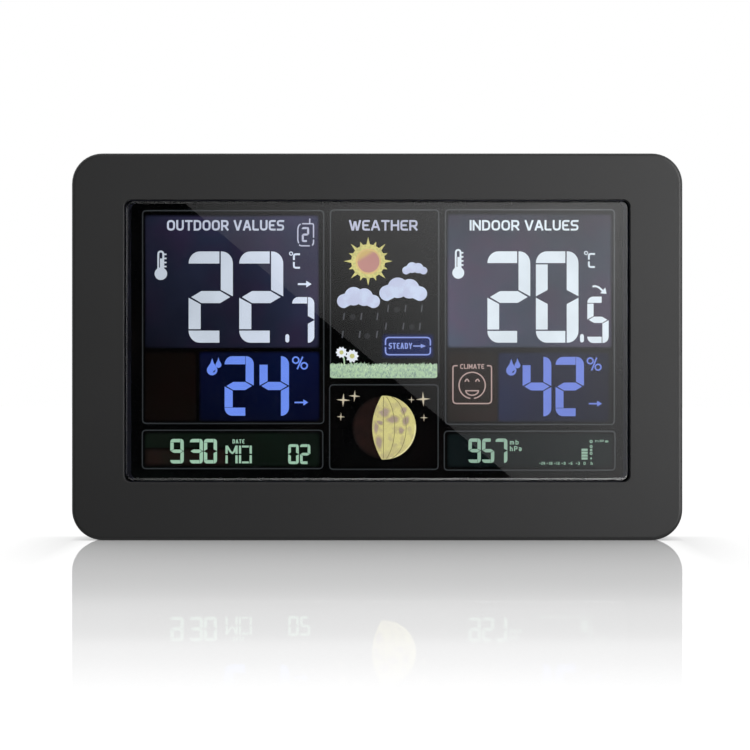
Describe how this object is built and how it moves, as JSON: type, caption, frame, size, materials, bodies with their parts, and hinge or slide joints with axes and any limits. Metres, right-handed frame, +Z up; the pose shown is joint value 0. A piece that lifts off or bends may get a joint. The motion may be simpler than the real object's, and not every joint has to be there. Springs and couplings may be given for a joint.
{
  "type": "home weather station",
  "caption": "Upright home weather station with a flat bezel, a colour display behind a black window, rear keys, battery bay and a fold-down foot.",
  "frame": {"origin": "on the table, under the middle of the anti-slip strip", "axes": "+X to the right along the case as seen from the front, -Y out of the display, +Z up"},
  "size_m": [0.2, 0.0672, 0.1268],
  "materials": {
    "case_plastic": "fine spark-eroded texture",
    "rear_plastic": "fine spark-eroded texture",
    "window_acrylic": "clear, hard-coated",
    "mask_plastic": "satin black",
    "rubber_black": "matte",
    "screw_steel": "black-passivated",
    "pin_steel": "ground",
    "polariser_film": "dark film",
    "display_glass": "cut edges",
    "colour_print": "printed film",
    "diffuser_film": "frosted",
    "light_guide_acrylic": "clear with printed dots",
    "white_plastic": "satin white",
    "circuit_board": "solder mask",
    "chip_black": "moulded epoxy",
    "led_white": "phosphor",
    "elastomer": "layered strip",
    "tin_plate": "tinned",
    "capacitor_sleeve": "printed sleeve",
    "lead_insulation": "insulated wire",
    "nickel_plate": "nickel-plated spring steel",
    "cell_jacket": "printed jacket",
    "key_plastic": "satin",
    "lcd_white": "lit display segment",
    "lcd_blue": "lit display segment",
    "lcd_lilac": "lit display segment",
    "lcd_green": "lit display segment",
    "lcd_mint": "lit display segment",
    "lcd_yellow": "lit display segment",
    "lcd_orange": "lit display segment",
    "lcd_rose": "lit display segment",
    "lcd_glow": "lit display segment",
    "lcd_line": "lit display segment"
  },
  "bodies": {
    "case": {"front_frame": "case_plastic", "rear_cover": "rear_plastic", "display_window": "window_acrylic", "display_mask": "mask_plastic", "rubber_foot_strip": "rubber_black", "case_screws": "screw_steel", "tray_screws": "screw_steel", "board_screws": "screw_steel", "stand_hinge_pins": "pin_steel", "front_polariser": "polariser_film", "lcd_front_glass": "display_glass", "lcd_rear_glass": "display_glass", "rear_polariser": "polariser_film", "colour_film": "colour_print", "diffuser_sheet": "diffuser_film", "light_guide": "light_guide_acrylic", "reflector_sheet": "white_plastic", "led_boards": "circuit_board", "backlight_leds": "led_white", "backlight_tray": "white_plastic", "zebra_strip": "elastomer", "main_board": "circuit_board", "controller_chip": "chip_black", "lcd_driver_chip": "chip_black", "memory_chip": "chip_black", "clock_crystal": "tin_plate", "receiver_module": "circuit_board", "receiver_shield": "tin_plate", "antenna_wire": "lead_insulation", "indoor_sensor": "white_plastic", "pressure_sensor": "tin_plate", "capacitors": "capacitor_sleeve", "buzzer": "chip_black", "internal_leads": "lead_insulation", "tact_switches": "chip_black", "slide_switch": "tin_plate", "dc_jack": "chip_black", "dc_jack_pin": "tin_plate", "battery_springs": "nickel_plate", "battery_contacts": "nickel_plate", "battery_cell_1": "cell_jacket", "battery_cell_2": "cell_jacket", "battery_cell_3": "cell_jacket"},
    "stand": {"stand_foot": "rear_plastic", "stand_foot_pad": "rubber_black"},
    "lid": {"battery_door": "rear_plastic"},
    "bar": {"light_bar": "key_plastic"},
    "knob": {"slide_knob": "key_plastic"},
    "set_key": {"set_button": "key_plastic"},
    "mode_key": {"mode_button": "key_plastic"},
    "alarm_key": {"alarm_button": "key_plastic"},
    "history_key": {"history_button": "key_plastic"},
    "up_key": {"up_button": "key_plastic"},
    "down_key": {"down_button": "key_plastic"}
  },
  "joints": [
    {"name": "stand_fold", "type": "hinge", "parent": "case", "child": "stand", "pos_m": [0, 0.0169, 0.008], "axis": [1, 0, 0], "range_deg": [0, 98.2]},
    {"name": "lid_swing", "type": "hinge", "parent": "case", "child": "lid", "pos_m": [0.0314, 0.0194, 0.035], "axis": [0, 0, 1], "range_deg": [0, 95]},
    {"name": "set_press", "type": "slide", "parent": "case", "child": "set_key", "axis": [0, -1, 0], "range_m": [0, 0.0005], "stiffness_N_per_m": 1500},
    {"name": "mode_press", "type": "slide", "parent": "case", "child": "mode_key", "axis": [0, -1, 0], "range_m": [0, 0.0005], "stiffness_N_per_m": 1500},
    {"name": "alarm_press", "type": "slide", "parent": "case", "child": "alarm_key", "axis": [0, -1, 0], "range_m": [0, 0.0005], "stiffness_N_per_m": 1500},
    {"name": "history_press", "type": "slide", "parent": "case", "child": "history_key", "axis": [0, -1, 0], "range_m": [0, 0.0005], "stiffness_N_per_m": 1500},
    {"name": "up_press", "type": "slide", "parent": "case", "child": "up_key", "axis": [0, -1, 0], "range_m": [0, 0.0005], "stiffness_N_per_m": 1500},
    {"name": "down_press", "type": "slide", "parent": "case", "child": "down_key", "axis": [0, -1, 0], "range_m": [0, 0.0005], "stiffness_N_per_m": 1500},
    {"name": "bar_press", "type": "slide", "parent": "case", "child": "bar", "axis": [0, 0, -1], "range_m": [0, 0.001], "stiffness_N_per_m": 900, "springref_m": -0.0005},
    {"name": "knob_slide", "type": "slide", "parent": "case", "child": "knob", "axis": [1, 0, 0], "range_m": [0, 0.005]}
  ]
}
